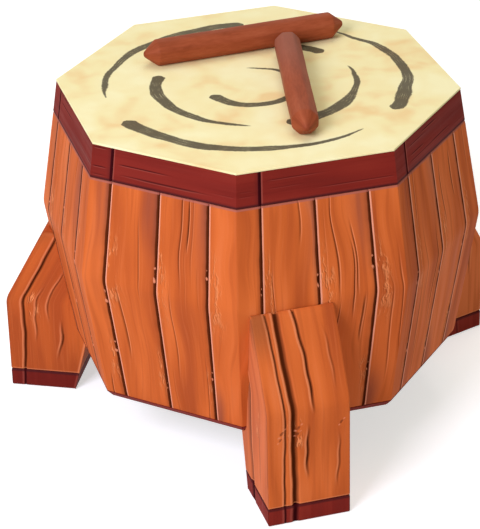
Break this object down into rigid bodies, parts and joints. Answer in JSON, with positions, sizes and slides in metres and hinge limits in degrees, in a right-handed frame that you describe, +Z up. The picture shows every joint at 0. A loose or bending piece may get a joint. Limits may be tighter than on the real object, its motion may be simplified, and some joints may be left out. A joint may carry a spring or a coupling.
{
  "type": "drum",
  "caption": "Coopered wooden floor drum: a faceted, bulging barrel of staves with a flat hide head, a let-in rim band, wedge-shaped shod legs, and loose wooden beaters lying on the head.",
  "frame": {"origin": "on the floor, at the centre of the rectangle that the whole drum covers; the barrel's upright axis stands 31 mm behind and 7 mm to the left of it, because the legs reach farther forward and to the right", "axes": "+Z up along the barrel's axis; -Y towards the front leg; +X to the right, seen from the front"},
  "size_m": [0.6412, 0.5704, 0.4656],
  "materials": {
    "stave_wood": "oiled, orange, satin, with dark joints and open grain",
    "band_wood": "stained dark red, satin",
    "hide": "cream rawhide, matt, mottled, with brushed marks",
    "leg_wood": "oiled, orange, satin",
    "inner_wood": "bare, matt",
    "beater_wood": "turned, stained red-brown, smooth satin"
  },
  "bodies": {
    "drum": {"stave_01": "stave_wood", "stave_02": "stave_wood", "stave_03": "stave_wood", "stave_04": "stave_wood", "stave_05": "stave_wood", "stave_06": "stave_wood", "stave_07": "stave_wood", "stave_08": "stave_wood", "stave_09": "stave_wood", "stave_10": "stave_wood", "stave_11": "stave_wood", "stave_12": "stave_wood", "stave_13": "stave_wood", "stave_14": "stave_wood", "stave_15": "stave_wood", "stave_16": "stave_wood", "stave_17": "stave_wood", "stave_18": "stave_wood", "stave_19": "stave_wood", "stave_20": "stave_wood", "stave_21": "stave_wood", "stave_22": "stave_wood", "stave_23": "stave_wood", "stave_24": "stave_wood", "rim_band_1": "band_wood", "rim_band_2": "band_wood", "rim_band_3": "band_wood", "rim_band_4": "band_wood", "rim_band_5": "band_wood", "rim_band_6": "band_wood", "rim_band_7": "band_wood", "rim_band_8": "band_wood", "base_hoop_1": "band_wood", "base_hoop_2": "band_wood", "base_hoop_3": "band_wood", "base_hoop_4": "band_wood", "base_hoop_5": "band_wood", "base_hoop_6": "band_wood", "base_hoop_7": "band_wood", "base_hoop_8": "band_wood", "head_hoop": "inner_wood", "hide_head": "hide", "leg_front": "leg_wood", "leg_left": "leg_wood", "leg_right": "leg_wood", "leg_shoe_front": "band_wood", "leg_shoe_left": "band_wood", "leg_shoe_right": "band_wood", "leg_peg_front_lower": "inner_wood", "leg_peg_front_upper": "inner_wood", "leg_peg_left_lower": "inner_wood", "leg_peg_left_upper": "inner_wood", "leg_peg_right_lower": "inner_wood", "leg_peg_right_upper": "inner_wood", "shoe_dowel_front": "inner_wood", "shoe_dowel_left": "inner_wood", "shoe_dowel_right": "inner_wood"},
    "long_beater": {"beater_long": "beater_wood"},
    "cross_beater": {"beater_cross": "beater_wood"}
  },
  "joints": [
    {"name": "long_beater_lift", "type": "slide", "parent": "drum", "child": "long_beater", "axis": [0, 0, 1], "range_m": [0, 0.15]},
    {"name": "cross_beater_lift", "type": "slide", "parent": "drum", "child": "cross_beater", "axis": [0, 0, 1], "range_m": [0, 0.15]}
  ]
}
